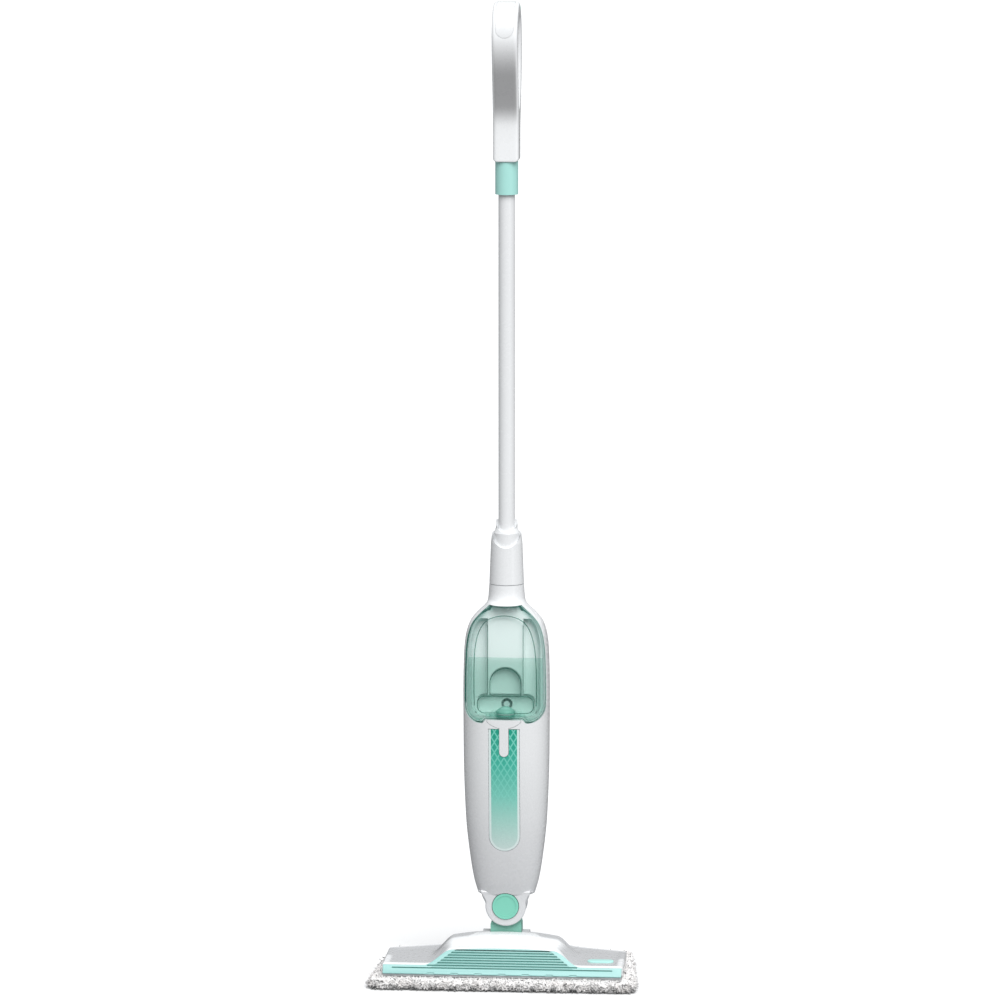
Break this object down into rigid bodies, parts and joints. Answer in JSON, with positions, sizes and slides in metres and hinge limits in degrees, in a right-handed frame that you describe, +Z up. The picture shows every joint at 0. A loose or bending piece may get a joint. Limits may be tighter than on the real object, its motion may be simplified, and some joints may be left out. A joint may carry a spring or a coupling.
{
  "type": "steam mop",
  "caption": "Upright steam mop: swivel head with microfibre pad, tapered body with clear water tank, pump-action tube and loop handle.",
  "frame": {"origin": "on the floor, centred under the pad, on the mop's upright axis", "axes": "+Z up along the tube, +X to the mop's left-to-right width (its right as seen from the front), -Y towards the front of the head"},
  "size_m": [0.33, 0.184, 1.1998],
  "materials": {
    "cast_alloy": "die-cast alloy",
    "clear_green": "clear green plastic",
    "dark_plastic": "dark heat-proof moulding",
    "dark_rubber": "dark rubber",
    "grey_plastic": "grey moulding",
    "hook_tape": "black hook tape",
    "hose": "silicone hose",
    "microfibre": "woven microfibre pile, off-white with dark stripes",
    "mint": "mint green moulding",
    "pale_mint": "pale mint moulding",
    "panel_print": "green printed panel, fading to pale mint",
    "steel": "plain steel",
    "tube_paint": "white powder coat on thin steel",
    "white_gloss": "white gloss moulding",
    "wire": "insulated wire"
  },
  "bodies": {
    "head": {"pad": "microfibre", "hook_strips": "hook_tape", "base_plate": "grey_plastic", "head_cover": "white_gloss", "front_grille": "pale_mint", "head_badge": "pale_mint", "steam_diffuser": "dark_plastic", "head_screws": "steel", "pitch_pins": "steel"},
    "yoke": {"yoke": "mint", "yoke_hose": "dark_rubber"},
    "mop_body": {"front_shell": "white_gloss", "rear_shell": "white_gloss", "swivel_frame": "grey_plastic", "roll_pin": "steel", "front_pivot_cap": "mint", "rear_pivot_cap": "mint", "neck_collar": "white_gloss", "decor_panel": "panel_print", "tank_bay": "white_gloss", "valve_bay": "white_gloss", "valve_socket": "dark_rubber", "boiler": "cast_alloy", "boiler_element": "dark_plastic", "thermostat": "dark_plastic", "terminal_block": "white_gloss", "pump_cylinder": "grey_plastic", "inlet_hose": "hose", "outlet_hose": "hose", "steam_hose": "dark_rubber", "wiring": "wire", "cord_gland": "dark_rubber", "lower_cord_hook": "pale_mint", "body_screws": "steel", "pump_spring": "steel"},
    "tank": {"tank_shell": "clear_green", "tank_back": "clear_green", "tank_floor": "clear_green", "tank_valve": "white_gloss"},
    "cap": {"tank_cap": "mint", "tank_cap_seal": "dark_rubber"},
    "button": {"release_button": "white_gloss"},
    "handle": {"tube": "tube_paint", "tube_ferrule": "white_gloss", "pump_plunger": "grey_plastic", "handle_collar": "pale_mint", "handle_left": "white_gloss", "handle_right": "white_gloss", "handle_inlay": "white_gloss", "grip_pad": "mint", "handle_screws": "steel", "hook_screw": "steel"},
    "hook": {"upper_cord_hook": "pale_mint"}
  },
  "joints": [
    {"name": "neck_pitch", "type": "hinge", "parent": "head", "child": "yoke", "pos_m": [0, 0, 0.046], "axis": [-1, 0, 0], "range_deg": [0, 70]},
    {"name": "neck_roll", "type": "hinge", "parent": "yoke", "child": "mop_body", "pos_m": [0, 0, 0.0914], "axis": [0, 1, 0], "range_deg": [-60, 60]},
    {"name": "tank_slide", "type": "slide", "parent": "mop_body", "child": "tank", "axis": [0, -1, 0], "range_m": [0, 0.09]},
    {"name": "cap_turn", "type": "hinge", "parent": "tank", "child": "cap", "pos_m": [0, -0.018, 0.334], "axis": [0, 0, 1], "range_deg": [0, 90]},
    {"name": "button_press", "type": "slide", "parent": "mop_body", "child": "button", "axis": [0, 1, 0], "range_m": [0, 0.003], "stiffness_N_per_m": 800, "springref_m": -0.003},
    {"name": "handle_pump", "type": "slide", "parent": "mop_body", "child": "handle", "axis": [0, 0, -1], "range_m": [0, 0.015], "stiffness_N_per_m": 800, "springref_m": -0.02, "deforming": ["pump_spring"]},
    {"name": "hook_swivel", "type": "hinge", "parent": "handle", "child": "hook", "pos_m": [0, 0.016, 1.031], "axis": [0, 1, 0], "range_deg": [0, 180]}
  ]
}
